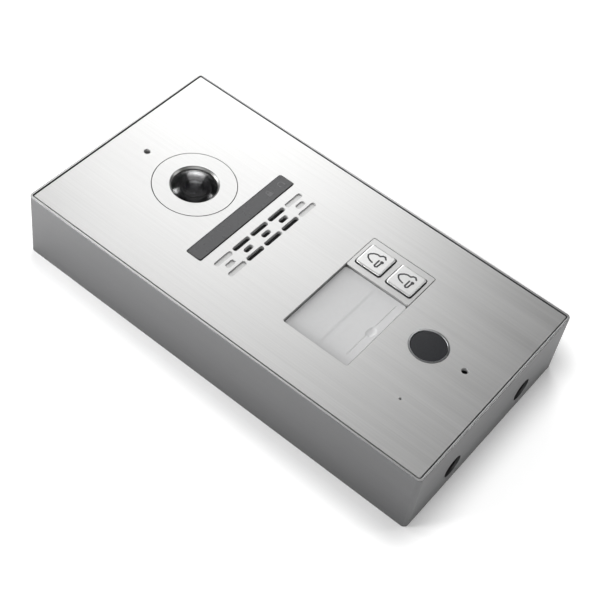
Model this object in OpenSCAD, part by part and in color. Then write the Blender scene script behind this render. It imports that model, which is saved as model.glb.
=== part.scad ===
// Surface-mounted door intercom panel, lying on its back.
// X runs to the panel's right, Y up the panel to the camera end, Z out of the front face.
// The origin is the centre of the back face.

/* [Surface box] */
// Width across the front
box_w = 118; // [112:1:124]
// Height up the wall
box_h = 222; // [212:1:236]
// Depth from the wall to the front rim
box_d = 37; // [37:0.5:44]
// Sheet thickness of the side walls
side_wall = 1.2; // [1:0.1:2]
// Thickness of the back wall
back_wall = 1.5; // [1:0.1:2.5]
// Radius of the four upright corners
corner_r = 2.3; // [1.5:0.1:4]

/* [Front plate] */
// Thickness of the brushed front plate
plate_t = 2; // [1.5:0.1:2.5]
// Gap between the plate and the box rim, each side
plate_gap = 0.55; // [0.3:0.05:0.8]
// How far the plate lies below the rim
plate_recess = 0.2; // [0:0.1:0.8]
// Distance of the two panel screws from the middle
panel_screw_y = 92.4; // [92:0.1:94]
// Access hole over each panel screw
access_d = 3.1; // [3:0.1:4]

/* [Cable entries and wall holes] */
// Round cable entries in the bottom wall
cable_d = 11.5; // [10:0.5:16]
// Their distance from the middle
cable_x = 27.5; // [22:0.5:32]
// Their height above the wall
cable_z = 12.5; // [10:0.5:13]
// Wall screw holes
wall_hole_d = 4.5; // [4:0.1:5.5]
// Wall hole spacing across
wall_dx = 60; // [56:1:70]
// Wall hole spacing up
wall_dy = 150; // [140:1:160]

/* [Camera] */
// Camera position up the panel
camera_y = 62.5; // [61:0.5:64]
// Round insert around the lens window
camera_ring_d = 40; // [38:0.5:41]
// Mouth of the lens window at the plate
lens_mouth_d = 23.6; // [22:0.2:25]
// Width of the 45 degree bevel round the mouth
lens_bevel = 1.0; // [0.8:0.1:1.6]
// Rise of the dome above the plate
dome_rise = 2.7; // [2:0.1:4]

/* [Status strip] */
// Width of the smoked strip
strip_w = 66.4; // [60:0.2:70]
// Height of the smoked strip
strip_h = 8.2; // [7:0.2:9]
// Its position up the panel
strip_y = 33.7; // [33:0.1:34.5]

/* [Speaker slots] */
// Middle row of the slots
slots_y = 18.95; // [18:0.05:20]
// Length of the long slots
slot_long = 11; // [9:0.5:11.5]
// Length of the short slots
slot_short = 5.3; // [4:0.1:7]
// Height of every slot
slot_h = 2.3; // [1.8:0.1:2.6]
// Column spacing
slot_dx = 12.5; // [12:0.1:12.7]
// Row spacing
slot_dy = 4.12; // [3.8:0.01:4.3]
// Depth of the blind slots in the two outer columns
blind_depth = 0.7; // [0.4:0.1:1.2]

/* [Name window and call buttons] */
// Width of the opening for the name window and the buttons
group_w = 66.4; // [64:0.2:68]
// Height of that opening
group_h = 35; // [34:0.5:37]
// Its position up the panel
group_y = -35.95; // [-37:0.05:-35]
// Width of the name window
name_w = 45; // [43:0.5:45.5]
// How far the name window lies below the plate
name_sink = 1.2; // [0.8:0.1:2.6]
// Side of a square call button
button_s = 14; // [13:0.2:14.6]
// Spacing of the two call buttons
button_dy = 17.2; // [17:0.1:18]
// How far a button stands above the plate
button_proud = 1; // [0.5:0.1:2]
// Travel of a call button
button_travel = 0.8; // [0.4:0.1:0.8]

/* [Touch sensor and microphone] */
// Position of the round touch sensor
sensor_y = -73.2; // [-73.5:0.1:-72]
// Outside of the sensor ring
sensor_d = 18.4; // [17:0.2:19]
// Microphone hole, across
mic_x = -31.1; // [-36:0.1:-28]
// Microphone hole, up the panel
mic_y = -80.4; // [-81:0.1:-78]
// Microphone hole
mic_d = 1.2; // [0.8:0.1:2]

/* [Hidden] */
$fn = 72;

// Small overlap that carries a cut past a face
cut = 0.5;
// Clearance between pieces that move past each other
slip = 0.3;
// Joint line round a flush insert
insert_gap = 0.2;
// Printed bell marks on the call buttons
bell_line = 0.8;
bell_t = 0.05;

// Opening in the back for cables coming out of the wall
rear_entry_w = 44;
rear_entry_h = 28;
rear_entry_y = -40;

// Front plate
plate_w = box_w - 2 * (side_wall + plate_gap);
plate_h = box_h - 2 * (side_wall + plate_gap);
plate_top = box_d - plate_recess;
plate_low = plate_top - plate_t;

// Folded ledge inside the box that carries the plate gasket
ledge_w = 2.5;
gasket_t = 0.8;
ledge_top = plate_low - gasket_t;
ledge_t = 1.2;

// Electronics module behind the plate
deck_t = 1.8;
deck_low = plate_low - deck_t;
module_w = 106;
module_h = 176;
module_wall = 1.6;
skirt_low = box_d - 17;
cover_low = box_d - 23.4;
cover_floor = 1.6;
seal_t = 0.6;
cover_screw_x = 47;
cover_screw_y = 82;
tongue_low = plate_low - 5.1;
tongue_t = 2;
tongue_reach = 98;

// Panel screws
screw_r = 1.45;
screw_head_r = 2.75;
screw_head_h = 3;
screw_end = tongue_low - 10;
post_r = 4;

// Camera
mouth_r = lens_mouth_d / 2;
dome_r = mouth_r - lens_bevel;
dome_base = plate_top - lens_bevel;
dome_height = dome_rise + lens_bevel;
dome_sphere_r = (dome_r * dome_r + dome_height * dome_height) / (2 * dome_height);
dome_centre = plate_top + dome_rise - dome_sphere_r;
dome_wall = 1.5;
dome_flange_r = dome_r + 2.1;
dome_flange_low = dome_base - 2;
dome_flange_t = 1.2;
dome_seal_t = 0.4;
ring_flange_r = camera_ring_d / 2 + 1.6;
camera_board_s = 40;
camera_board_low = plate_low - 14.7;
board_t = 1.2;
camera_board_top = camera_board_low + board_t;
camera_post = 17.2;

// Status strip
strip_flange = 1.3;
strip_flange_t = 1.2;
strip_back = plate_low - strip_flange_t;
strip_proud = 0.2;
icon_t = 0.03;
status_board_low = plate_low - 7.7;

// Speaker
speaker_w = 44;
speaker_h = 19;
speaker_top = deck_low - 1;
speaker_low = speaker_top - 3.5;

// Name window and buttons
name_x = (name_w - group_w) / 2;
bezel_w = group_w - name_w;
bezel_x = (group_w - bezel_w) / 2;
button_x = 22.5;
cover_top = plate_top - name_sink;
cover_t = 2;
cover_clear = 0.3;
card_t = 0.3;
tray_floor_top = cover_top - cover_t - card_t;
tray_t = 1.2;
tray_wall = 1.4;
button_top = plate_top + button_proud;
flange_s = button_s + 1.4;
flange_top = plate_low - slip;
flange_low = flange_top - 0.9;
button_post_low = flange_low - 0.85;
key_board_top = plate_low - 4.7;
dome_top = button_post_low - 0.05;
mat_t = 0.8;

// Touch sensor
sensor_r = sensor_d / 2;
sensor_wall = 0.85;
sensor_proud = 0.2;
sensor_low = plate_low - 5;
nut_r = 11.5;

// Main board
main_low = box_d - 16.6;
main_t = 1.6;
main_top = main_low + main_t;
main_w = 98;
main_end = -84;
main_front = 38;
board_post_x = 41;
board_post_y = [-74, 4, 34];

// Screw terminals
terminal_y = -64;
terminal_low = cover_low - 6;
terminal_pitch = 4.6;

// Tamper switch
tamper_x = -42;
tamper_y = 20;
tamper_end = cover_low - 1.6;

module round_rect(w, h, r) {
    square([w - 2 * r, h], center = true);
    square([w, h - 2 * r], center = true);
    for (x = [-1, 1], y = [-1, 1])
        translate([x * (w / 2 - r), y * (h / 2 - r)]) circle(r);
}

// Flat rounded slab between two heights
module slab(w, h, r, low, high) {
    translate([0, 0, low]) linear_extrude(high - low) round_rect(w, h, r);
}

// Upright cylinder between two heights
module rod(r, low, high) {
    translate([0, 0, low]) cylinder(r = r, h = high - low);
}

// Sharp-edged block between two heights
module block(w, h, low, high) {
    translate([-w / 2, -h / 2, low]) cube([w, h, high - low]);
}

module at(x, y) {
    translate([x, y, 0]) children();
}

// The same thing at the four corners of a rectangle
module four(dx, dy) {
    for (x = [-1, 1], y = [-1, 1]) at(x * dx, y * dy) children();
}

module both_ends() {
    for (y = [-1, 1]) at(0, y * panel_screw_y) children();
}

module both_buttons() {
    for (y = [-1, 1]) at(button_x, group_y + y * button_dy / 2) children();
}

// ---- box and front ----

module surface_box() color([0.55, 0.56, 0.57]) {
    inner_w = box_w - 2 * side_wall;
    inner_h = box_h - 2 * side_wall;
    inner_r = corner_r - side_wall;
    difference() {
        union() {
            difference() {
                slab(box_w, box_h, corner_r, 0, box_d);
                slab(inner_w, inner_h, inner_r, back_wall, box_d + cut);
            }
            difference() {
                slab(inner_w + 0.2, inner_h + 0.2, inner_r, ledge_top - ledge_t, ledge_top);
                slab(inner_w - 2 * ledge_w, inner_h - 2 * ledge_w, inner_r, 0, box_d);
            }
            both_ends() rod(post_r, back_wall - 0.2, tongue_low);
            at(tamper_x, tamper_y) rod(post_r, back_wall - 0.2, tamper_end - slip);
        }
        both_ends() rod(1.5, screw_end - 2, tongue_low + cut);
        four(wall_dx / 2, wall_dy / 2) rod(wall_hole_d / 2, -cut, back_wall + cut);
        at(0, rear_entry_y) slab(rear_entry_w, rear_entry_h, 4, -cut, back_wall + cut);
        for (x = [-1, 1]) translate([x * cable_x, -box_h / 2 - cut, cable_z])
            rotate([-90, 0, 0]) cylinder(d = cable_d, h = side_wall + 2 * cut);
    }
}

module front_plate() color([0.82, 0.82, 0.81]) difference() {
    slab(plate_w, plate_h, 0.6, plate_low, plate_top);
    both_ends() rod(access_d / 2, plate_low - cut, plate_top + cut);
    at(0, camera_y) rod(camera_ring_d / 2 + insert_gap, plate_low - cut, plate_top + cut);
    at(0, strip_y) slab(strip_w + 2 * insert_gap, strip_h + 2 * insert_gap, 1,
        plate_low - cut, plate_top + cut);
    for (col = [-2:2], row = [-1:1])
        at(col * slot_dx, slots_y + row * slot_dy)
            slab(row == 0 ? slot_short : slot_long, slot_h, slot_h / 2 - 0.1,
                abs(col) == 2 ? plate_top - blind_depth : plate_low - cut, plate_top + cut);
    at(0, group_y) slab(group_w + 2 * insert_gap, group_h + 2 * insert_gap, 1,
        plate_low - cut, plate_top + cut);
    at(0, sensor_y) rod(sensor_r + 0.05, plate_low - cut, plate_top + cut);
    at(mic_x, mic_y) rod(mic_d / 2, plate_low - cut, plate_top + cut);
}

module plate_gasket() color([0.1, 0.1, 0.1]) difference() {
    slab(plate_w - 0.2, plate_h - 0.2, 0.6, ledge_top, plate_low);
    slab(plate_w - 4, plate_h - 4, 0.6, ledge_top - cut, plate_low + cut);
}

module captive_screw() {
    head_low = tongue_low + tongue_t;
    difference() {
        union() {
            rod(screw_head_r, head_low, head_low + screw_head_h);
            rod(screw_r, screw_end, head_low + 0.2);
        }
        translate([0, 0, head_low + 1.2]) cylinder(d = 2.9, h = screw_head_h, $fn = 6);
    }
}

module panel_screw_top() color([0.8, 0.8, 0.8]) at(0, panel_screw_y) captive_screw();

module panel_screw_bottom() color([0.08, 0.08, 0.08]) at(0, -panel_screw_y) captive_screw();

// ---- electronics module ----

module module_chassis() color([0.14, 0.14, 0.15]) difference() {
    union() {
        difference() {
            slab(module_w, module_h, 3, skirt_low, plate_low);
            slab(module_w - 2 * module_wall, module_h - 2 * module_wall, 2, skirt_low - cut, deck_low);
        }
        // Tongues that the panel screws clamp down
        for (y = [-1, 1]) at(0, y * (module_h / 2 + tongue_reach) / 2)
            block(16, tongue_reach - module_h / 2 + 1, tongue_low, tongue_low + tongue_t);
        four(cover_screw_x, cover_screw_y) rod(3.4, skirt_low, deck_low + 0.2);
        at(0, camera_y) four(camera_post, camera_post) rod(2.1, camera_board_top, deck_low + 0.2);
        for (x = [-1, 1], y = board_post_y) at(x * board_post_x, y) rod(2.8, main_top, deck_low + 0.2);
    }
    both_ends() rod(1.7, tongue_low - cut, tongue_low + tongue_t + cut);
    four(cover_screw_x, cover_screw_y) rod(1.2, skirt_low - cut, skirt_low + 8);
    at(0, camera_y) four(camera_post, camera_post) rod(0.9, camera_board_top - cut, camera_board_top + 6);
    for (x = [-1, 1], y = board_post_y) at(x * board_post_x, y) rod(1.1, main_top - cut, main_top + 7);
    at(0, camera_y) rod(ring_flange_r + 0.3, deck_low - cut, plate_low + cut);
    at(0, strip_y) slab(strip_w + 2 * strip_flange + 0.6, strip_h + 2 * strip_flange + 0.6, 1,
        deck_low - cut, plate_low + cut);
    at(0, slots_y) slab(42, 14.6, 1.5, deck_low - cut, plate_low + cut);
    at(0, group_y) slab(group_w + 3.4, group_h + 3.4, 1.5, deck_low - cut, plate_low + cut);
    at(0, sensor_y) rod(nut_r + 0.5, deck_low - cut, plate_low + cut);
    at(mic_x, mic_y) rod(4.1, deck_low - cut, plate_low + cut);
}

module rear_cover() color([0.16, 0.16, 0.17]) difference() {
    union() {
        difference() {
            slab(module_w, module_h, 3, cover_low, skirt_low - seal_t);
            slab(module_w - 2 * module_wall, module_h - 2 * module_wall, 2,
                cover_low + cover_floor, skirt_low + cut);
        }
        four(cover_screw_x, cover_screw_y) rod(3.4, cover_low + 0.5, skirt_low - seal_t);
    }
    four(cover_screw_x, cover_screw_y) {
        rod(1.4, cover_low - cut, skirt_low + cut);
        rod(2.4, cover_low - cut, cover_low + 2);
    }
    at(0, terminal_y) slab(45, 10.6, 1, cover_low - cut, cover_low + cover_floor + cut);
    at(tamper_x, tamper_y) rod(1.6, cover_low - cut, cover_low + cover_floor + cut);
}

module rear_cover_seal() color([0.1, 0.1, 0.1]) difference() {
    slab(module_w, module_h, 3, skirt_low - seal_t, skirt_low);
    slab(module_w - 2 * module_wall, module_h - 2 * module_wall, 2, skirt_low - 2, skirt_low + cut);
    four(cover_screw_x, cover_screw_y) rod(3.6, skirt_low - 2, skirt_low + cut);
}

module rear_cover_screws() color([0.7, 0.7, 0.7]) four(cover_screw_x, cover_screw_y) difference() {
    union() {
        rod(2.2, cover_low + 0.2, cover_low + 2);
        rod(1.15, cover_low + 1.8, skirt_low + 7);
    }
    translate([-1.6, -0.3, cover_low]) cube([3.2, 0.6, 1]);
}

// ---- camera ----

module camera_ring() color([0.8, 0.8, 0.79]) at(0, camera_y) difference() {
    union() {
        rod(camera_ring_d / 2, plate_low - 0.1, plate_top);
        rod(ring_flange_r, deck_low, plate_low);
    }
    // Bevelled mouth, dome seat and the lens barrel's clearance
    translate([0, 0, dome_base]) cylinder(r1 = dome_r + 0.1, r2 = mouth_r + 0.1, h = lens_bevel);
    rod(mouth_r + 0.1, plate_top, plate_top + cut);
    rod(dome_r + 0.1, deck_low - cut, dome_base);
    rod(dome_flange_r + 0.1, deck_low - cut, dome_flange_low + dome_flange_t + dome_seal_t);
}

module camera_dome() color([0.05, 0.05, 0.06]) at(0, camera_y) difference() {
    union() {
        intersection() {
            translate([0, 0, dome_centre]) sphere(dome_sphere_r);
            rod(dome_r, dome_base, box_d + 10);
        }
        rod(dome_r, dome_flange_low, dome_base);
        rod(dome_flange_r, dome_flange_low, dome_flange_low + dome_flange_t);
    }
    intersection() {
        translate([0, 0, dome_centre]) sphere(dome_sphere_r - dome_wall);
        rod(dome_r, dome_flange_low - cut, box_d + 10);
    }
}

module dome_seal() color([0.1, 0.1, 0.1]) at(0, camera_y) difference() {
    rod(dome_flange_r, dome_flange_low + dome_flange_t, dome_flange_low + dome_flange_t + dome_seal_t);
    rod(dome_r + 0.1, dome_flange_low, dome_base);
}

module lens_barrel() color([0.08, 0.08, 0.08]) at(0, camera_y) rotate_extrude() polygon([
    [3, camera_board_top + 2.4], [6, camera_board_top + 2.4], [6, camera_board_top + 6],
    [8.5, camera_board_top + 6], [8.5, plate_low - 0.9], [7.9, plate_low - 0.3],
    [6.7, plate_low - 0.3], [6.7, plate_low + 0.3], [6.3, plate_low + 0.5], [4.6, plate_low + 0.1],
    [4.6, plate_low - 0.6], [3.9, plate_low - 1.2], [3.9, plate_low - 3], [3, plate_low - 3.6]]);

module front_lens() color([0.12, 0.12, 0.16]) at(0, camera_y) intersection() {
    rod(4.5, plate_low - 0.6, plate_low + 2);
    translate([0, 0, plate_low + 0.7 - 7.6]) sphere(7.6);
}

module lens_holder() color([0.1, 0.1, 0.1]) at(0, camera_y) difference() {
    slab(17, 17, 1, camera_board_top, camera_board_top + 5.6);
    rod(6.05, camera_board_top + 2.2, camera_board_top + 7);
    block(11, 11, camera_board_top - cut, camera_board_top + 2.2);
}

module camera_board() color([0.05, 0.25, 0.12]) at(0, camera_y) difference() {
    slab(camera_board_s, camera_board_s, 1.5, camera_board_low, camera_board_top);
    four(camera_post, camera_post) rod(1.1, camera_board_low - cut, camera_board_top + cut);
}

module image_sensor() color([0.15, 0.15, 0.2]) at(0, camera_y)
    block(9, 9, camera_board_top, camera_board_top + 1.4);

module board_screw(under) {
    difference() {
        union() {
            rod(1.8, under - 1.2, under);
            rod(0.85, under - 0.2, under + board_t + 5);
        }
        translate([-1.2, -0.25, under - 1.3]) cube([2.4, 0.5, 0.7]);
    }
}

module camera_screws() color([0.7, 0.7, 0.7])
    at(0, camera_y) four(camera_post, camera_post) board_screw(camera_board_low);

module camera_connector() color([0.85, 0.82, 0.7]) at(0, camera_y - 14)
    block(16, 4, camera_board_low - 2.4, camera_board_low);

// ---- status strip ----

module status_window() color([0.3, 0.3, 0.31]) at(0, strip_y) {
    slab(strip_w, strip_h, 1.1, plate_low - 0.1, plate_top + strip_proud);
    slab(strip_w + 2 * strip_flange, strip_h + 2 * strip_flange, 0.9, strip_back, plate_low);
}

// A padlock mark and a headset mark, printed on the strip
module status_icons() color([0.85, 0.85, 0.83]) translate([0, strip_y, plate_top + strip_proud])
    linear_extrude(icon_t) {
        translate([20, 0]) {
            difference() {
                translate([0, 0.8]) circle(1.1);
                translate([0, 0.8]) circle(0.7);
            }
            translate([0, -0.6]) square([2.8, 1.8], center = true);
        }
        translate([28.5, 0]) {
            difference() {
                circle(1.7);
                circle(1.2);
                translate([-3, -3]) square([6, 2.7]);
            }
            for (x = [-1, 1]) translate([x * 1.4, -0.8]) square([0.8, 1.3], center = true);
        }
    }

module light_guide() color([0.95, 0.95, 0.95]) at(0, strip_y)
    slab(strip_w - 2, strip_h - 1, 0.8, status_board_low + board_t + 1.2, strip_back - 0.1);

module status_board() color([0.05, 0.25, 0.12]) at(0, strip_y)
    block(strip_w, strip_h, status_board_low, status_board_low + board_t);

module status_leds() color([0.95, 0.95, 0.8]) for (x = [-24, -8, 8, 20, 28.5])
    at(x, strip_y) block(3, 2, status_board_low + board_t, status_board_low + board_t + 1);

// ---- speaker ----

module speaker_mesh() color([0.12, 0.12, 0.12]) at(0, slots_y)
    slab(41.4, 14, 1, plate_low - 0.3, plate_low);

module speaker_gasket() color([0.1, 0.1, 0.1]) at(0, slots_y) difference() {
    slab(41.4, 14, 1, speaker_top, plate_low - 0.3);
    slab(37.4, 11.4, 1, speaker_top - cut, plate_low);
}

module speaker_frame() color([0.2, 0.2, 0.2]) at(0, slots_y) difference() {
    slab(speaker_w, speaker_h, 8, speaker_low, speaker_top);
    slab(speaker_w - 5, speaker_h - 5, 6, speaker_low + 1.2, speaker_top + cut);
    rod(5.5, speaker_low - cut, speaker_top);
}

module speaker_cone() color([0.07, 0.07, 0.07]) at(0, slots_y) difference() {
    slab(speaker_w - 5.4, speaker_h - 5.4, 6, speaker_top - 1.4, speaker_top - 0.5);
    slab(speaker_w - 14, speaker_h - 9.4, 4, speaker_top - 0.9, speaker_top);
}

module speaker_magnet() color([0.6, 0.6, 0.62]) at(0, slots_y) {
    rod(8, speaker_low - 3.4, speaker_low);
    rod(5, speaker_low - 0.2, speaker_low + 1.4);
}

// ---- name window ----

module name_cover() color([0.78, 0.79, 0.8]) at(name_x, group_y) {
    cover_low_z = cover_top - cover_t;
    groove_y = -13.55;
    groove_w = 0.8;
    scoop_r = 4.1;
    scoop_rise = 3.55;
    scoop_half = 1.3;
    difference() {
        slab(name_w - 2 * cover_clear, group_h - 2 * cover_clear, 1.2, cover_low_z, cover_top);
        // Fine moulded line and the thumb scoop that lifts the cover out
        at(1.25, groove_y) slab(36.5, groove_w, groove_w / 2 - 0.05, cover_top - 0.25, cover_top + cut);
        at(0, groove_y - 0.4) for (x = [-1, 1]) at(x * scoop_half, 0)
            translate([0, 0, cover_top + scoop_rise]) sphere(scoop_r);
        at(0, groove_y - 0.4) translate([-scoop_half, 0, cover_top + scoop_rise])
            rotate([0, 90, 0]) cylinder(r = scoop_r, h = 2 * scoop_half);
    }
}

module name_cards() color([0.93, 0.93, 0.92]) at(name_x, group_y)
    for (y = [-1, 1]) at(0, y * 8.8) block(name_w - 1.4, 16.4, tray_floor_top, tray_floor_top + 0.2);

module name_tray() color([0.95, 0.95, 0.94]) at(name_x, group_y) {
    difference() {
        slab(name_w + 2 * tray_wall, group_h + 2 * tray_wall, 1.4, tray_floor_top - tray_t, plate_low);
        block(name_w + 0.2, group_h + 0.2, tray_floor_top, plate_low + cut);
    }
    block(name_w, 0.9, tray_floor_top - 0.1, tray_floor_top + card_t - 0.05);
}

module backlight_leds() color([0.95, 0.95, 0.8]) at(name_x, group_y)
    for (x = [-15, -5, 5, 15], y = [-9, 9])
        at(x, y) block(2.8, 1.6, key_board_top, key_board_top + 0.7);

// ---- call buttons ----

module button_bezel() color([0.8, 0.8, 0.79]) difference() {
    at(bezel_x, group_y) slab(bezel_w - 0.1, group_h, 0.8, plate_low, plate_top);
    both_buttons() slab(button_s + 2 * slip, button_s + 2 * slip, 1.4, plate_low - cut, plate_top + cut);
}

module call_button() {
    edge = 0.5;
    slab(button_s, button_s, 1.2, flange_top - 0.1, button_top - edge);
    slab(button_s - 0.3, button_s - 0.3, 1.1, button_top - edge - 0.1, button_top - 0.2);
    slab(button_s - 0.9, button_s - 0.9, 1, button_top - 0.3, button_top);
    slab(flange_s, flange_s, 1.2, flange_low, flange_top);
    rod(2, button_post_low, flange_low + 0.1);
}

module upper_call_button() color([0.8, 0.8, 0.79])
    at(button_x, group_y + button_dy / 2) call_button();

module lower_call_button() color([0.8, 0.8, 0.79])
    at(button_x, group_y - button_dy / 2) call_button();

// Round-ended stroke between two points
module stroke(a, b, w) {
    run = b - a;
    translate(a) rotate(atan2(run[1], run[0])) translate([0, -w / 2]) square([norm(run), w]);
    translate(a) circle(d = w);
    translate(b) circle(d = w);
}

module strokes(points, w) {
    for (i = [1:len(points) - 1]) stroke(points[i - 1], points[i], w);
}

// Outline of a ringing bell, its clapper swung aside, drawn with thin strokes
module bell_icon() translate([0, 0, button_top]) linear_extrude(bell_t) {
    strokes([[-0.2, 4.4], [0.9, 4.1], [2.2, 2.9], [2.9, 1.4], [2.8, -0.3], [3.8, -1.1], [4.1, -2.2],
        [3, -3.3]], bell_line);
    strokes([[-0.2, 4.4], [-1.5, 3.5], [-2.2, 2.2], [-2.6, 0.5]], bell_line);
    strokes([[0.4, -1.3], [-3.3, -1.3], [-3.8, -2], [-3.2, -2.7], [0.2, -3]], bell_line);
    translate([0.4, -3]) circle(0.85);
}

module upper_bell_icon() color([0.25, 0.25, 0.26])
    at(button_x, group_y + button_dy / 2) bell_icon();

module lower_bell_icon() color([0.25, 0.25, 0.26])
    at(button_x, group_y - button_dy / 2) bell_icon();

module keypad_mat() color([0.75, 0.75, 0.75]) difference() {
    at(button_x + 0.6, group_y) slab(16.6, group_h - 1, 1, key_board_top, key_board_top + mat_t);
    both_buttons() rod(3.6, key_board_top - cut, key_board_top + 2);
}

module key_dome() difference() {
    translate([0, 0, key_board_top]) cylinder(r1 = 3.5, r2 = 2.1, h = dome_top - key_board_top);
    translate([0, 0, key_board_top - 0.4]) cylinder(r1 = 3, r2 = 1.6, h = dome_top - key_board_top);
}

module upper_key_dome() color([0.75, 0.75, 0.75])
    at(button_x, group_y + button_dy / 2) key_dome();

module lower_key_dome() color([0.75, 0.75, 0.75])
    at(button_x, group_y - button_dy / 2) key_dome();

module key_board() color([0.05, 0.25, 0.12]) at(0, group_y)
    block(group_w, group_h, key_board_top - board_t, key_board_top);

module key_contacts() color([0.85, 0.7, 0.3])
    both_buttons() rod(1.4, key_board_top, key_board_top + 0.15);

// ---- touch sensor and microphone ----

module sensor_ring() color([0.6, 0.6, 0.61]) at(0, sensor_y) difference() {
    rod(sensor_r, sensor_low, plate_top + sensor_proud);
    rod(sensor_r - sensor_wall, sensor_low - cut, plate_top + 1);
}

module sensor_disc() color([0.2, 0.2, 0.22]) at(0, sensor_y)
    rod(sensor_r - sensor_wall - 0.05, plate_top - 1, plate_top);

module sensor_module() color([0.1, 0.1, 0.11]) at(0, sensor_y)
    rod(sensor_r - sensor_wall - 0.2, sensor_low - 1, plate_top - 1);

module sensor_nut() color([0.7, 0.65, 0.45]) at(0, sensor_y) difference() {
    translate([0, 0, plate_low - 2.6]) cylinder(r = nut_r, h = 2.5, $fn = 6);
    rod(sensor_r + 0.05, sensor_low, plate_low + cut);
}

module microphone_boot() color([0.12, 0.12, 0.12]) at(mic_x, mic_y) difference() {
    rod(4, plate_low - 5, plate_low);
    rod(3.05, plate_low - 5.5, plate_low - 1);
    rod(0.8, plate_low - 5, plate_low + cut);
}

module microphone() color([0.7, 0.7, 0.72]) at(mic_x, mic_y) rod(3, plate_low - 4.2, plate_low - 1.1);

// ---- main board ----

module main_board() color([0.05, 0.25, 0.12]) difference() {
    translate([-main_w / 2, main_end, main_low]) cube([main_w, main_front - main_end, main_t]);
    for (x = [-1, 1], y = board_post_y) at(x * board_post_x, y) rod(1.3, main_low - cut, main_top + cut);
    four(cover_screw_x, cover_screw_y) rod(4.2, main_low - cut, main_top + cut);
}

module board_chips() color([0.1, 0.1, 0.1]) {
    at(-12, 8) block(15, 15, main_top, main_top + 1.4);
    at(14, 4) block(12, 9, main_top, main_top + 1.2);
    at(-14, -20) block(10, 14, main_top, main_top + 1.2);
    at(12, -24) block(8, 8, main_top, main_top + 1);
    at(-22, -58) block(9, 9, main_top, main_top + 1.2);
}

module capacitors() color([0.15, 0.15, 0.3])
    for (y = [-62, -52, -12, 16]) at(42, y) rod(3.9, main_top, main_top + 8.5);

module lock_relay() color([0.1, 0.25, 0.5]) at(-42, -20) block(11, 19, main_top, main_top + 9.5);

module board_screws() color([0.7, 0.7, 0.7]) for (x = [-1, 1], y = board_post_y)
    at(x * board_post_x, y) board_screw(main_low);

// Screw terminals that stand out of the back of the module, wires entering from below
module terminal_block() color([0.12, 0.45, 0.25]) at(0, terminal_y) difference() {
    block(44, 9.6, terminal_low, main_low);
    for (i = [-4:4]) at(i * terminal_pitch, 0) {
        rod(1.6, terminal_low - cut, terminal_low + 2.6);
        translate([-1.5, -5.5, terminal_low + 3]) cube([3, 6, 2.6]);
    }
}

module terminal_screws() color([0.75, 0.75, 0.75])
    for (i = [-4:4]) at(i * terminal_pitch, terminal_y) difference() {
        rod(1.5, terminal_low + 0.5, terminal_low + 2.5);
        translate([-2, -0.25, terminal_low]) cube([4, 0.5, 1.2]);
    }

module tamper_switch() color([0.1, 0.1, 0.1]) at(tamper_x, tamper_y) difference() {
    block(6.5, 6.5, main_low - 4, main_low);
    rod(1.5, main_low - 4.5, main_low - 0.8);
}

module tamper_plunger() color([0.9, 0.9, 0.88]) at(tamper_x, tamper_y)
    rod(1.2, tamper_end, main_low - 2);

surface_box();
front_plate();
plate_gasket();
module_chassis();
rear_cover();
rear_cover_seal();
rear_cover_screws();
panel_screw_top();
panel_screw_bottom();
camera_ring();
camera_dome();
dome_seal();
lens_barrel();
front_lens();
lens_holder();
camera_board();
image_sensor();
camera_screws();
camera_connector();
status_window();
status_icons();
light_guide();
status_board();
status_leds();
speaker_mesh();
speaker_gasket();
speaker_frame();
speaker_cone();
speaker_magnet();
button_bezel();
upper_call_button();
lower_call_button();
upper_bell_icon();
lower_bell_icon();
keypad_mat();
upper_key_dome();
lower_key_dome();
key_board();
key_contacts();
name_cover();
name_cards();
name_tray();
backlight_leds();
sensor_ring();
sensor_disc();
sensor_module();
sensor_nut();
microphone_boot();
microphone();
main_board();
board_chips();
capacitors();
lock_relay();
board_screws();
terminal_block();
terminal_screws();
tamper_switch();
tamper_plunger();
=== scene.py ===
import math

import bmesh
import bpy
from mathutils import Matrix, Vector


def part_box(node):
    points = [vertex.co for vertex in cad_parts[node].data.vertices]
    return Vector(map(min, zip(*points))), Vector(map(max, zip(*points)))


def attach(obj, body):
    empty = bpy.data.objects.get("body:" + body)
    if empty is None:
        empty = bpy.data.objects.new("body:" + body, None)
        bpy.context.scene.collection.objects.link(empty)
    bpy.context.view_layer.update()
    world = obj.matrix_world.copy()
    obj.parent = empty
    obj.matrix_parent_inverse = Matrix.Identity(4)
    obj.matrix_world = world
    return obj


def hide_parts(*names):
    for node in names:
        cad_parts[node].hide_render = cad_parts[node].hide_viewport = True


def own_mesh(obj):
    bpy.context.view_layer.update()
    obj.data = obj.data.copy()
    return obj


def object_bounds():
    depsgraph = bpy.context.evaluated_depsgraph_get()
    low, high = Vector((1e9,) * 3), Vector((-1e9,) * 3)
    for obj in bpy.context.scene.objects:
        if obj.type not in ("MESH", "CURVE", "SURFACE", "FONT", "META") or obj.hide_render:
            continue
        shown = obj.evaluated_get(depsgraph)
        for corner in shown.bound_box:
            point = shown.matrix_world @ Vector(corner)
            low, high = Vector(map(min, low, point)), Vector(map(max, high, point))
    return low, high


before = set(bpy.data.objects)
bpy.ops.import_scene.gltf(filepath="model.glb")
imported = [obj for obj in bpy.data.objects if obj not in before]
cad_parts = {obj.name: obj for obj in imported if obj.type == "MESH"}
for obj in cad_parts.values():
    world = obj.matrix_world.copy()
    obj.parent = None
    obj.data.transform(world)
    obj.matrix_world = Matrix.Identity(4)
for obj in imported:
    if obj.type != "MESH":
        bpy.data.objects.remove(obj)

cad_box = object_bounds()

# ---- Camera, floor and lights ----
# The panel lies on its back on a white table that glows evenly, with a soft shadow painted into its
# light close round the panel, which the panel's walls also reflect. A long lens looks along it from
# the bottom left. Softboxes stand behind its camera end, so the plate darkens as it nears us, with
# smaller ones at its left and right and two broad, even fills.

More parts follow.
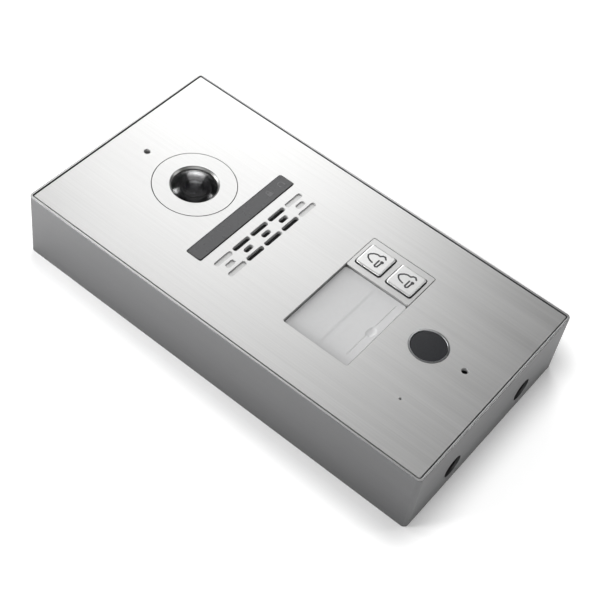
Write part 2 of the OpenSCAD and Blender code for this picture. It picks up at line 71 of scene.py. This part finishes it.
camera_data = bpy.data.cameras.new("studio_camera")
camera_data.lens = 81.76
camera_data.sensor_width = 36
camera_data.clip_start = 0.01
camera = bpy.data.objects.new("studio_camera", camera_data)
bpy.context.scene.collection.objects.link(camera)
bpy.context.scene.camera = camera
camera_place = Vector((-0.3462, -0.2095, 0.5000))
looking = Vector((0.54572, 0.32220, -0.77355))
roll = math.radians(10.62)
turn = looking.to_track_quat("-Z", "Y").to_matrix().to_4x4()
camera.matrix_world = Matrix.Translation(camera_place) @ turn @ Matrix.Rotation(roll, 4, "Z")

bpy.context.scene.view_settings.view_transform = "Standard"

class Signal:
    """A number or a colour on its way through a node tree."""

    def __init__(self, nodes, socket):
        self.nodes = nodes
        self.socket = socket

    def math(self, operation, left, right):
        return self.nodes.node("ShaderNodeMath", {"operation": operation}, {0: left, 1: right})

    def __add__(self, other):
        return self.math("ADD", self, other)

    def __sub__(self, other):
        return self.math("SUBTRACT", self, other)

    def __rsub__(self, other):
        return self.math("SUBTRACT", other, self)

    def __mul__(self, other):
        return self.math("MULTIPLY", self, other)

    __rmul__ = __mul__


class Nodes:
    """Adds nodes to one node tree."""

    def __init__(self, tree):
        self.tree = tree

    def feed(self, socket, value):
        if isinstance(value, Signal):
            self.tree.links.new(value.socket, socket)
        else:
            socket.default_value = value

    def node(self, kind, settings=(), sockets=(), out=0):
        made = self.tree.nodes.new(kind)
        for name, value in dict(settings).items():
            setattr(made, name, value)
        for name, value in dict(sockets).items():
            self.feed(made.inputs[name], value)
        return Signal(self, made.outputs[out])


class Finish(Nodes):
    """One procedural material: a Principled surface and the nodes that feed it."""

    def __init__(self, name, **constants):
        self.material = bpy.data.materials.new(name)
        self.material.use_nodes = True
        super().__init__(self.material.node_tree)
        self.surface = self.tree.nodes["Principled BSDF"]
        for socket, value in constants.items():
            self.feed(self.surface.inputs[socket.replace("_", " ")], value)

    def place(self, scale):
        """Object coordinates, stretched by scale per axis."""
        where = self.node("ShaderNodeTexCoord", out="Object")
        return self.node("ShaderNodeMapping", sockets={"Vector": where, "Scale": scale})

    def noise(self, scale, detail=3, rough=0.55):
        return self.node("ShaderNodeTexNoise", sockets={
            "Vector": self.place(scale), "Scale": 1.0, "Detail": detail, "Roughness": rough})

    def between(self, amount, low, high):
        """A number from low to high, as amount crosses the range that noise mostly fills."""
        return self.node("ShaderNodeMapRange", sockets={
            "Value": amount, "From Min": 0.3, "From Max": 0.7, "To Min": low, "To Max": high})

    def shade(self, amount, dark, light):
        """A colour between dark and light, each an (r, g, b)."""
        return self.node("ShaderNodeMix", {"data_type": "RGBA"},
            {0: amount, 6: (*dark, 1), 7: (*light, 1)}, out=2)

    def colour(self, signal):
        self.feed(self.surface.inputs["Base Color"], signal)

    def roughness(self, signal):
        self.feed(self.surface.inputs["Roughness"], signal)

    def relief(self, height, depth):
        """Raises the surface by height, a 0 to 1 signal, times depth in metres."""
        bump = self.node("ShaderNodeBump", sockets={"Height": height, "Distance": depth})
        self.feed(self.surface.inputs["Normal"], bump)


floor_work = bmesh.new()
bmesh.ops.create_grid(floor_work, x_segments=1, y_segments=1, size=3)
floor_mesh = bpy.data.meshes.new("studio_floor")
floor_work.to_mesh(floor_mesh)
floor = bpy.data.objects.new("studio_floor", floor_mesh)
bpy.context.scene.collection.objects.link(floor)

floor_paint = Finish("studio_white", Base_Color=(0.93, 0.93, 0.93, 1), Roughness=0.9,
    Specular_IOR_Level=0.1, Emission_Strength=0.62)
table_place = floor_paint.node("ShaderNodeTexCoord", out="Object")


def past_panel(axis, half_size):
    """How far a point of the table lies outside the panel along one axis, or 0 within it."""
    along_axis = floor_paint.node("ShaderNodeSeparateXYZ", sockets={0: table_place}, out=axis)
    outside = along_axis.math("ABSOLUTE", along_axis, 0) - half_size
    return outside.math("MAXIMUM", outside, 0)


# Painted shadow: the table's light is painted down to black right at the panel and comes back over
# about 24 mm, its outline pulled in a little at the panel's ends.
painted_shadow_end_tuck = 0.006
past_side = past_panel(0, cad_box[1].x)
past_end = past_panel(1, cad_box[1].y - painted_shadow_end_tuck)
away = past_side.math("SQRT", past_side * past_side + past_end * past_end, 0)
painted_shadow_glow = floor_paint.node("ShaderNodeMapRange", {"interpolation_type": "SMOOTHSTEP"}, {
    "Value": away, "From Min": 0.0005, "From Max": 0.024, "To Min": 0.0, "To Max": 1.0})
floor_paint.feed(floor_paint.surface.inputs["Emission Color"],
    floor_paint.shade(painted_shadow_glow, (0, 0, 0), (1, 1, 1)))
floor_mesh.materials.append(floor_paint.material)

world = bpy.data.worlds.new("studio_air")
world.use_nodes = True
air = world.node_tree.nodes["Background"]
air.inputs["Color"].default_value = (1, 1, 1, 1)
sight = world.node_tree.nodes.new("ShaderNodeLightPath")
backdrop = world.node_tree.nodes.new("ShaderNodeMapRange")
backdrop.inputs["To Min"].default_value = 0.07
backdrop.inputs["To Max"].default_value = 0.62
world.node_tree.links.new(sight.outputs["Is Camera Ray"], backdrop.inputs["Value"])
world.node_tree.links.new(backdrop.outputs["Result"], air.inputs["Strength"])
bpy.context.scene.world = world


def softbox(name, place, aim, width, height, power, faded=True):
    """An area light. If faded, its cloth is brightest in the middle and dark at its edges."""
    data = bpy.data.lights.new(name, "AREA")
    data.shape = "RECTANGLE"
    data.size = width
    data.size_y = height
    data.energy = power
    if faded:
        data.use_nodes = True
        box_cloth = Nodes(data.node_tree)
        spot = box_cloth.node("ShaderNodeNewGeometry", out="Parametric")
        fade = 9 / 4  # each axis's curve averages 2/3, so this keeps the whole light at its power
        for axis in (0, 1):
            along_box = box_cloth.node("ShaderNodeSeparateXYZ", sockets={0: spot}, out=axis)
            fade = fade * (along_box * (1 - along_box) * 4)
        box_cloth.feed(data.node_tree.nodes["Emission"].inputs["Strength"], fade)
    lamp = bpy.data.objects.new(name, data)
    lamp.location = place
    lamp.rotation_euler = (Vector(aim) - Vector(place)).to_track_quat("-Z", "Y").to_euler()
    bpy.context.scene.collection.objects.link(lamp)


softbox("back_softbox", (0.80, 0.63, 0.68), (0, 0, 0), 0.65, 1.0, 4.1, faded=False)
softbox("back_strip", (0.95, 0.77, 0.25), (0, 0.06, 0.04), 0.60, 0.56, 2.8)
softbox("left_softbox", (-0.22, 0.58, 0.37), (-0.05, 0.05, 0), 0.24, 0.38, 1.5)
softbox("left_low_softbox", (-0.50, 0.34, 0.14), (-0.06, 0, 0), 0.30, 0.20, 4.0)
softbox("front_softbox", (0.66, -0.63, 0.76), (0, 0, 0), 0.34, 0.34, 1.3)
softbox("camera_fill", (-0.85, -0.50, 0.80), (0, 0, 0), 1.3, 0.6, 4.5, faded=False)
softbox("ceiling_softbox", (0, -0.1, 1.6), (0, 0, 0), 1.5, 1.5, 2.5, faded=False)


# ---- Surface box ----
# A shallow box folded from stainless sheet, linished to a satin finish along its walls. Its bare rim
# stands just above the front plate, and two round cable entries are cut in the bottom wall. The
# walls' steel is painted dark, as shade, and the rim's flat top a light steel, as a painted
# highlight: a shaded and a lit copy of the same sheet's finish.


def brushed(name, tone, lines, rough, depth):
    """Bare brushed steel. lines is the grain's frequency per metre along X, Y and Z."""
    broad_share = 0.18
    groove_share = 0.84
    metal = Finish(name, Metallic=1.0)
    fine = metal.noise(lines, detail=5, rough=0.7)
    broad = metal.noise(tuple(line * broad_share for line in lines), detail=3)
    cloud = metal.noise((18, 9, 18), detail=2)
    streak = fine * 0.6 + broad * 0.4
    groove_tone = [part * groove_share for part in tone]
    metal.colour(metal.shade(metal.between(streak, 0, 1), groove_tone, tone))
    metal.roughness(metal.between(streak, rough - 0.05, rough + 0.05) + cloud * 0.05)
    metal.relief(streak, depth)
    return metal.material


def link_piece(name, work, finish, body="panel"):
    """Makes an object of a finished bmesh and lets it ride on a body."""
    mesh = bpy.data.meshes.new(name)
    for face in work.faces:
        face.smooth = True
    work.to_mesh(mesh)
    work.free()
    mesh.materials.append(finish)
    piece = bpy.data.objects.new(name, mesh)
    bpy.context.scene.collection.objects.link(piece)
    even = piece.modifiers.new("even_normals", "WEIGHTED_NORMAL")
    even.keep_sharp = True
    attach(piece, body)
    return piece


sharp_angle = math.radians(35)


def eased(node, edge, steps=2, where=lambda middle: True):
    """A CAD node's own mesh, its doubles merged and its sharp edges eased by edge metres."""
    same_point = 2e-6
    same_plane = math.radians(0.4)
    work = bmesh.new()
    work.from_mesh(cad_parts[node].data)
    bmesh.ops.remove_doubles(work, verts=work.verts, dist=same_point)
    bmesh.ops.dissolve_limit(work, angle_limit=same_plane, verts=work.verts, edges=work.edges)
    corners = []
    for side in work.edges:
        middle = (side.verts[0].co + side.verts[1].co) / 2
        if side.is_manifold and side.calc_face_angle() > sharp_angle and where(middle):
            corners.append(side)
    bmesh.ops.bevel(work, geom=corners, offset=edge, offset_type="OFFSET", affect="EDGES",
        segments=steps, profile=0.5, material=-1, clamp_overlap=False)
    for side in work.edges:
        side.smooth = side.is_manifold and side.calc_face_angle() < sharp_angle
    return work


box_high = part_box("surface_box")[1]
rim_band = 0.0005
rim_ease = 0.00025
painted_shade_wall = brushed("satin_wall_steel_painted_shade", (0.165, 0.166, 0.168), (60, 60, 2200), 0.46, 3e-6)
box_work = eased("surface_box", rim_ease, 3,
    lambda middle: middle.z > box_high.z - rim_band or middle.z < rim_band)
# The rim's flat top takes the light steel as a painted highlight; the rest takes the dark steel as
# painted shade.
for face in box_work.faces:
    if face.normal.z > 0.8 and face.calc_center_median().z > box_high.z - rim_band:
        face.material_index = 1
box_shell = link_piece("box_shell", box_work, painted_shade_wall)
painted_highlight_rim = brushed("rim_steel_painted_highlight", (0.60, 0.60, 0.60), (300, 300, 300), 0.36, 2e-6)
box_shell.data.materials.append(painted_highlight_rim)
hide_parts("surface_box")


# ---- Front plate ----
# A thick stainless sheet, brushed in long straight lines up the panel. Its holes are punched and
# lightly deburred, and the outer columns of speaker slots are only pressed in. The walls and
# deburred edges of the holes take a duller grey: partly the punched edge's own finish, partly
# painted shade that draws a dark line round each hole. The pressed slots' floors are painted a
# little darker than the plate, as shade in the hollow.


def plain(name, dark, light, rough, grain, depth=2e-6, metal=0.0):
    """A moulded, painted or plated finish with a fine grain."""
    finish = Finish(name, Metallic=metal)
    grit = finish.noise((grain, grain, grain), detail=3)
    finish.colour(finish.shade(finish.between(grit, 0, 1), dark, light))
    finish.roughness(finish.between(grit, rough - 0.06, rough + 0.06))
    finish.relief(grit, depth)
    return finish.material


brush_lines = (1500, 16, 1500)
plate_steel = brushed("long_brushed_steel", (0.71, 0.71, 0.705), brush_lines, 0.36, 4e-6)
plate_low, plate_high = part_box("front_plate")
deburr = 0.00018
slot_floor_margin = 0.0005
plate_work = eased("front_plate", deburr)
for face in plate_work.faces:
    height = face.calc_center_median().z
    # Steep faces take the punched-edge grey, partly painted shade; slot floors take the pressed
    # steel, painted darker as shade.
    if abs(face.normal.z) < 0.93:
        face.material_index = 1
    elif plate_low.z + slot_floor_margin < height < plate_high.z - slot_floor_margin:
        face.material_index = 2
plate_face = link_piece("plate_face", plate_work, plate_steel)
punched_edge_and_shade = plain("punched_edge_steel_and_painted_shade", (0.40, 0.40, 0.40), (0.48, 0.48, 0.48), 0.5, 900)
plate_face.data.materials.append(punched_edge_and_shade)
pressed = brushed("pressed_slot_steel_painted_shade", (0.62, 0.62, 0.615), brush_lines, 0.40, 4e-6)
plate_face.data.materials.append(pressed)
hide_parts("front_plate")


# ---- Camera insert ----
# A turned steel ring, set flush in the plate and flanged behind it. Inside a short drop, a polished
# bevel of about 45 degrees leads down to the dome. Its outer edge, its upright walls and all below
# the dome's seat are near black: partly the ring's blackened lining, partly painted shade in the
# gaps round it and in the hollow under the dome. The bevel's steel is painted darker than the
# ring's, as shade.


def turned(profile, centre, steps=96):
    """A closed profile of (radius, height) points, spun once about an upright axis."""
    work = bmesh.new()
    rim = [work.verts.new((centre[0] + r, centre[1], z)) for r, z in profile]
    edges = [work.edges.new(pair) for pair in zip(rim, rim[1:])]
    edges.append(work.edges.new((rim[-1], rim[0])))
    bmesh.ops.spin(work, geom=rim + edges, cent=(*centre, 0), axis=(0, 0, 1),
        angle=math.tau, steps=steps, use_merge=True)
    bmesh.ops.remove_doubles(work, verts=work.verts, dist=1e-7)
    bmesh.ops.recalc_face_normals(work, faces=work.faces)
    for side in work.edges:
        side.smooth = side.is_manifold and side.calc_face_angle() < math.radians(32)
    return work


ring_low, ring_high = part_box("camera_ring")
eye = ((ring_low.x + ring_high.x) / 2, (ring_low.y + ring_high.y) / 2)
insert_r = 0.020
mouth_r = 0.0118
dome_r = 0.0108
seat = plate_high.z - (mouth_r - dome_r)
ring_ease = 0.00012
mouth_drop = 0.0003
ring_fit = 0.0001
seat_lip = 0.0004
throat_r = dome_r + 0.0022
ring_flange_r = ring_high.x - eye[0]
insert_profile = [(insert_r - ring_ease, plate_high.z), (insert_r, plate_high.z - ring_ease),
    (insert_r, plate_low.z), (ring_flange_r, plate_low.z), (ring_flange_r, ring_low.z),
    (throat_r, ring_low.z), (throat_r, seat - seat_lip), (dome_r + ring_fit, seat - seat_lip),
    (dome_r + ring_fit, seat), (mouth_r - ring_fit, plate_high.z - mouth_drop),
    (mouth_r, plate_high.z - mouth_drop), (mouth_r, plate_high.z - ring_ease / 2),
    (mouth_r + ring_ease / 2, plate_high.z)]
insert_steel = brushed("insert_brushed_steel", (0.67, 0.67, 0.665), brush_lines, 0.34, 3e-6)
insert_work = turned(insert_profile, eye, 144)
# Near black for the outer edge, the upright walls and below the seat, partly painted shade; the
# bevel faces take the darker polish, painted shade.
for face in insert_work.faces:
    middle = face.calc_center_median()
    outer_edge = math.dist(middle.xy, eye) > mouth_r + 0.001 and face.normal.z < 0.9
    if outer_edge or middle.z < seat or abs(face.normal.z) < 0.3:
        face.material_index = 2
    elif 0.5 < face.normal.z < 0.9:
        face.material_index = 1
camera_insert = link_piece("camera_insert", insert_work, insert_steel)
shaded_bevel_polish = brushed("polished_bevel_painted_shade", (0.50, 0.50, 0.49), (400, 400, 400), 0.34, 1e-6)
blackening_and_shade = Finish("blackened_steel_and_painted_shade", Metallic=0.0, Specular_IOR_Level=0.3)
soot = blackening_and_shade.noise((1600, 1600, 1600))
blackening_and_shade.colour(blackening_and_shade.shade(blackening_and_shade.between(soot, 0, 1),
    (0.008, 0.008, 0.008), (0.02, 0.02, 0.02)))
blackening_and_shade.roughness(blackening_and_shade.between(soot, 0.5, 0.65))
camera_insert.data.materials.append(shaded_bevel_polish)
camera_insert.data.materials.append(blackening_and_shade.material)
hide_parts("camera_ring")


# ---- Lens barrel and front lens ----
# A stepped black barrel, turned with a few rings round its mouth, carries a small domed lens.
# The lens is glass with a dark, faintly violet coating.

barrel_low, barrel_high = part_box("lens_barrel")
foot_r = 0.0060
body_r = 0.0085
foot_height = 0.0036
barrel_profile = [(0.0030, barrel_low.z), (foot_r, barrel_low.z),
    (foot_r, barrel_low.z + foot_height), (body_r, barrel_low.z + foot_height)]
# Radius and depth below the barrel's rim: the outer chamfer, the turned rings, then the lens's well.
barrel_rings = [(body_r, 0.0014), (0.0079, 0.0008), (0.0072, 0.0008), (0.0070, 0.0010),
    (0.0067, 0.0010), (0.0067, 0.0001), (0.0065, 0.0), (0.0058, 0.0001), (0.0056, 0.0003),
    (0.0053, 0.0003), (0.0051, 0.0001), (0.0046, 0.0002), (0.0044, 0.0011), (0.0039, 0.0017),
    (0.0039, 0.0035), (0.0030, 0.0041)]
barrel_profile += [(r, barrel_high.z - down) for r, down in barrel_rings]
barrel_paint = Finish("barrel_black", Roughness=0.32, Specular_IOR_Level=0.6)
speck = barrel_paint.noise((2500, 2500, 2500), detail=2)
barrel_paint.colour(barrel_paint.shade(barrel_paint.between(speck, 0, 1),
    (0.03, 0.03, 0.032), (0.06, 0.06, 0.062)))
barrel_paint.roughness(barrel_paint.between(speck, 0.26, 0.42))
barrel = link_piece("stepped_barrel", turned(barrel_profile, eye), barrel_paint.material)
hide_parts("lens_barrel")

lens_low, lens_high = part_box("front_lens")
lens_r = lens_high.x - eye[0]
lens_rise = lens_high.z - lens_low.z
lens_steps = 10
lens_profile = []
for k in range(lens_steps):
    climb = k * math.pi / 2 / lens_steps
    lens_profile.append((lens_r * math.cos(climb), lens_low.z + lens_rise * math.sin(climb)))
lens_profile += [(0.0, lens_high.z), (0.0, lens_low.z)]
coating = Finish("coated_lens", Roughness=0.03, Coat_Weight=1.0, Coat_Roughness=0.02)
film = coating.noise((260, 260, 260), detail=1)
coating.colour(coating.shade(coating.between(film, 0, 1),
    (0.012, 0.010, 0.022), (0.03, 0.022, 0.05)))
lens = link_piece("coated_front_lens", turned(lens_profile, eye, 64), coating.material)
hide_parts("front_lens")


# ---- Dome ----
# A smoked polycarbonate dome, moulded as a thin shell with a flange round its foot. A seal presses
# the flange up under the insert.

dome_low, dome_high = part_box("camera_dome")
dome_rise = dome_high.z - seat
outer_curve = (dome_r ** 2 + dome_rise ** 2) / (2 * dome_rise)
dome_centre = dome_high.z - outer_curve
dome_wall = 0.0015
flange_t = 0.0012
inner_curve = outer_curve - dome_wall


def arc_points(curve, centre_z, from_r, to_r, count):
    """Points on a sphere's side from one radius to another."""
    points = []
    for k in range(count + 1):
        r = from_r + (to_r - from_r) * k / count
        points.append((r, centre_z + math.sqrt(curve ** 2 - r ** 2)))
    return points


flange_r = dome_high.x - eye[0]
inner_r = math.sqrt(inner_curve ** 2 - (dome_low.z - dome_centre) ** 2)
dome_profile = [(inner_r, dome_low.z), (flange_r, dome_low.z), (flange_r, dome_low.z + flange_t),
    (dome_r, dome_low.z + flange_t)]
dome_profile += arc_points(outer_curve, dome_centre, dome_r, 0, 28)
dome_profile += arc_points(inner_curve, dome_centre, 0, inner_r, 24)[:-1]
smoke = Finish("smoked_dome", Roughness=0.02, IOR=1.49, Transmission_Weight=1.0)
haze = smoke.noise((90, 90, 90), detail=2)
smoke.colour(smoke.shade(smoke.between(haze, 0, 1), (0.36, 0.36, 0.37), (0.42, 0.42, 0.43)))
smoke.roughness(smoke.between(haze, 0.15, 0.17))
dome = link_piece("smoked_camera_dome", turned(dome_profile, eye), smoke.material)
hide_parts("camera_dome")


# ---- Status strip ----
# A smoked acrylic strip pressed into the plate, a hair proud of it, with eased edges painted near
# black, as the shade that outlines it. Two faint marks are printed near its right end.

strip_tint = Finish("smoked_strip", IOR=1.49)
dust = strip_tint.noise((140, 140, 140), detail=4)
strip_tint.colour(strip_tint.shade(strip_tint.between(dust, 0, 1),
    (0.062, 0.063, 0.066), (0.072, 0.073, 0.076)))
strip_tint.roughness(strip_tint.between(dust, 0.22, 0.32))
strip_ease = 0.0003
strip_work = eased("status_window", strip_ease, 3)
# The eased edges take the near-black edge finish: painted shade.
for face in strip_work.faces:
    if abs(face.normal.z) < 0.97:
        face.material_index = 1
strip = link_piece("smoked_status_strip", strip_work, strip_tint.material)
strip_edge_painted_shade = plain("strip_edge_painted_shade", (0.010, 0.010, 0.011), (0.02, 0.02, 0.021), 0.4, 900)
strip.data.materials.append(strip_edge_painted_shade)
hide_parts("status_window")


def dress(finish, *nodes):
    """Gives CAD nodes a finish in place of their plain one."""
    for node in nodes:
        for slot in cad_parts[node].material_slots:
            slot.material = finish


dress(plain("faint_print", (0.13, 0.13, 0.134), (0.16, 0.16, 0.164), 0.4, 900), "status_icons")


# ---- Speaker behind the slots ----
# Woven black dust cloth lies behind the punched slots and shows through them. Under it is a
# speaker with a paper cone and a plated magnet.

cloth = Finish("dust_cloth", Roughness=0.95)
cloth_place = cloth.place((5200, 5200, 5200))
weave = cloth.node("ShaderNodeTexChecker", sockets={"Vector": cloth_place, "Scale": 1.0}, out=1)
cloth.colour(cloth.shade(weave, (0.012, 0.012, 0.012), (0.05, 0.05, 0.05)))
cloth.relief(weave, 4e-5)
dress(cloth.material, "speaker_mesh")
dress(plain("cone_paper", (0.02, 0.02, 0.02), (0.05, 0.05, 0.05), 0.85, 2400, 1e-5),
    "speaker_cone")
dress(plain("plated_magnet", (0.5, 0.5, 0.52), (0.6, 0.6, 0.62), 0.25, 500, metal=1.0),
    "speaker_magnet")


# ---- Button bezel and call buttons ----
# A flush brushed insert frames two square metal-faced buttons, each with a soft rounded edge and
# a ringing bell printed on it. Each cap sits on a dark moulded flange and post, and its sides and
# the lower part of its soft edge are painted the same dark colour, as the shade in the gap round
# each button.

bezel = link_piece("flush_button_bezel", eased("button_bezel", ring_ease), insert_steel)
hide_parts("button_bezel")

button_steel = brushed("button_cap_steel", (0.84, 0.84, 0.835), (1500, 40, 1500), 0.36, 3e-6)
dark_moulding_and_painted_shade = plain("dark_moulding_and_painted_shade", (0.018, 0.018, 0.02), (0.035, 0.035, 0.037), 0.55, 1800)


def call_button(side):
    """A cap with rounded corners and a soft edge, on its dark flange and post."""
    low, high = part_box(side + "_call_button")
    middle = (low + high) / 2
    cap_s = 0.014
    cap_corner = 0.0014
    cap_soft_edge = 0.0009
    cap_low = plate_low.z - 0.0004
    flange_s = high.x - low.x
    flange_corner = 0.0012
    flange_high = plate_low.z - 0.0003
    flange_low = plate_low.z - 0.0012
    post_r = 0.002
    work = bmesh.new()

    def slab(width, bottom, top, corner, soft_edge):
        made = bmesh.ops.create_cube(work, size=1)["verts"]
        bmesh.ops.scale(work, vec=(width, width, top - bottom), verts=made)
        bmesh.ops.translate(work, vec=(middle.x, middle.y, (top + bottom) / 2), verts=made)
        edges = set(e for v in made for e in v.link_edges)
        upright = [e for e in edges if abs(e.verts[0].co.z - e.verts[1].co.z) > 1e-5]
        bmesh.ops.bevel(work, geom=upright, offset=corner, offset_type="OFFSET", affect="EDGES",
            segments=8, profile=0.5, material=-1)
        if soft_edge:
            ring = [e for e in work.edges if all(abs(v.co.z - top) < 1e-6 for v in e.verts)]
            bmesh.ops.bevel(work, geom=ring, offset=soft_edge, offset_type="OFFSET",
                affect="EDGES", segments=5, profile=0.5, material=-1)

    slab(cap_s, cap_low, high.z, cap_corner, cap_soft_edge)
    caps = set(face for face in work.faces if face.normal.z > 0.7)
    slab(flange_s, flange_low, flange_high, flange_corner, 0)
    post = bmesh.ops.create_cone(work, cap_ends=True, segments=32, radius1=post_r, radius2=post_r,
        depth=flange_low - low.z)["verts"]
    bmesh.ops.translate(work, vec=(middle.x, middle.y, (flange_low + low.z) / 2), verts=post)
    # All but the cap's top and the upper part of its soft edge take the dark moulding: painted shade
    # on the cap, the moulding's own colour on flange and post.
    for face in work.faces:
        face.material_index = 0 if face in caps else 1
    for edge in work.edges:
        edge.smooth = edge.is_manifold and edge.calc_face_angle() < sharp_angle
    piece = link_piece(side + "_button_cap", work, button_steel, side + "_button")
    piece.data.materials.append(dark_moulding_and_painted_shade)
    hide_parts(side + "_call_button")


call_button("upper")
call_button("lower")
dress(plain("bell_print", (0.045, 0.045, 0.047), (0.07, 0.07, 0.072), 0.5, 1500),
    "upper_bell_icon", "lower_bell_icon")


# ---- Keypad ----
# A grey silicone mat lies under the buttons. Its two hollow domes are what push the buttons back.

silicone = plain("key_silicone", (0.50, 0.50, 0.50), (0.58, 0.58, 0.58), 0.7, 1200, 4e-6)
dress(silicone, "keypad_mat")
moulded_ease = 0.0001
for side in ("upper", "lower"):
    dome_node = side + "_key_dome"
    key_dome = link_piece(side + "_silicone_dome", eased(dome_node, moulded_ease), silicone)
    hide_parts(dome_node)
    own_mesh(key_dome)


# ---- Name window ----
# A clear cover, faintly frosted, over two light grey name cards in a dark grey tray. A fine moulded
# line runs along its foot, with an oval scoop where a nail lifts it out.

cover_clear = Finish("frosted_cover", IOR=1.49, Alpha=0.53)
frost = cover_clear.noise((500, 500, 500), detail=3)
cover_clear.colour(cover_clear.shade(cover_clear.between(frost, 0, 1),
    (0.93, 0.932, 0.936), (0.96, 0.962, 0.966)))
cover_clear.roughness(cover_clear.between(frost, 0.28, 0.36))
cover = link_piece("frosted_name_cover", eased("name_cover", moulded_ease),
    cover_clear.material, "cover")
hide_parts("name_cover")
dress(plain("name_card_stock", (0.78, 0.78, 0.78), (0.84, 0.84, 0.84), 0.8, 1200, 4e-6),
    "name_cards")
dress(plain("dark_grey_tray", (0.10, 0.10, 0.102), (0.13, 0.13, 0.132), 0.5, 700), "name_tray")
dress(plain("opal_guide", (0.72, 0.72, 0.72), (0.78, 0.78, 0.78), 0.4, 700), "light_guide")


# ---- Touch sensor ----
# A dark coated sensor face in a thin satin metal ring that stands in a hole of the plate. A nut
# holds the ring from behind.

sensor_low, sensor_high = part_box("sensor_ring")
touch = ((sensor_low.x + sensor_high.x) / 2, (sensor_low.y + sensor_high.y) / 2)
ring_r = sensor_high.x - touch[0]
ring_wall = 0.00085
bore_r = ring_r - ring_wall
ring_top = sensor_high.z
ring_slope = 0.0002
ring_shoulder = 0.00006
sensor_profile = [(ring_r, sensor_low.z), (ring_r, ring_top - ring_slope),
    (ring_r - ring_shoulder, ring_top - ring_shoulder), (ring_r - ring_slope, ring_top),
    (bore_r + ring_slope, ring_top), (bore_r, ring_top - ring_slope), (bore_r, sensor_low.z)]
ring_satin = plain("satin_ring", (0.26, 0.265, 0.27), (0.33, 0.335, 0.34), 0.35, 900, metal=1.0)
sensor_ring = link_piece("satin_sensor_ring", turned(sensor_profile, touch), ring_satin)
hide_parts("sensor_ring")

disc_low, disc_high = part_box("sensor_disc")
disc_r = disc_high.x - touch[0]
disc_ease = 0.00015
disc_profile = [(0, disc_low.z), (disc_r, disc_low.z), (disc_r, disc_high.z - disc_ease),
    (disc_r - disc_ease, disc_high.z), (0, disc_high.z)]
touch_coat = Finish("touch_coating", IOR=1.5, Specular_IOR_Level=0.4)
skin = touch_coat.noise((3000, 3000, 3000), detail=2)
touch_coat.colour(touch_coat.shade(touch_coat.between(skin, 0, 1),
    (0.011, 0.012, 0.015), (0.016, 0.017, 0.021)))
touch_coat.roughness(touch_coat.between(skin, 0.18, 0.26))
touch_coat.relief(skin, 2e-6)
disc = link_piece("touch_sensor_face", turned(disc_profile, touch, 72), touch_coat.material)
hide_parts("sensor_disc")


# ---- Screws, seals and everything inside ----
# Plated screws, black seals and mouldings, green boards and what is soldered on them. Of all this
# little more than the heads of the two panel screws shows, deep in their holes.

zinc = plain("bright_zinc", (0.60, 0.60, 0.61), (0.74, 0.74, 0.75), 0.28, 700, metal=1.0)
dress(zinc, "rear_cover_screws", "panel_screw_top", "camera_screws", "board_screws",
    "terminal_screws", "microphone")
dress(plain("black_oxide", (0.01, 0.01, 0.01), (0.03, 0.03, 0.03), 0.5, 900), "panel_screw_bottom")
dress(plain("seal_rubber", (0.012, 0.012, 0.012), (0.03, 0.03, 0.03), 0.8, 1500, 6e-6),
    "plate_gasket", "rear_cover_seal", "dome_seal", "speaker_gasket", "microphone_boot")
dress(plain("black_moulding", (0.02, 0.02, 0.021), (0.045, 0.045, 0.047), 0.55, 1600, 8e-6),
    "module_chassis", "rear_cover", "lens_holder", "speaker_frame", "sensor_module",
    "tamper_switch")
dress(plain("solder_mask", (0.012, 0.10, 0.045), (0.02, 0.15, 0.065), 0.3, 400),
    "camera_board", "main_board", "key_board", "status_board")
dress(plain("chip_package", (0.02, 0.02, 0.02), (0.04, 0.04, 0.04), 0.5, 2500),
    "image_sensor", "board_chips")
dress(plain("connector_cream", (0.66, 0.60, 0.44), (0.74, 0.68, 0.52), 0.5, 900),
    "camera_connector")
dress(plain("led_lens", (0.75, 0.72, 0.50), (0.85, 0.82, 0.62), 0.3, 900), "status_leds",
    "backlight_leds")
dress(plain("plated_gold", (0.70, 0.48, 0.16), (0.85, 0.62, 0.25), 0.25, 900, metal=1.0),
    "key_contacts")
dress(plain("turned_brass", (0.58, 0.44, 0.18), (0.70, 0.55, 0.26), 0.35, 900, metal=1.0),
    "sensor_nut")
dress(plain("capacitor_sleeve", (0.03, 0.03, 0.08), (0.05, 0.05, 0.12), 0.3, 800), "capacitors")
dress(plain("relay_case", (0.03, 0.09, 0.26), (0.05, 0.13, 0.34), 0.35, 700), "lock_relay")
dress(plain("terminal_green", (0.03, 0.22, 0.08), (0.05, 0.30, 0.12), 0.45, 900), "terminal_block")
dress(plain("plunger_white", (0.70, 0.70, 0.66), (0.78, 0.78, 0.74), 0.45, 900), "tamper_plunger")
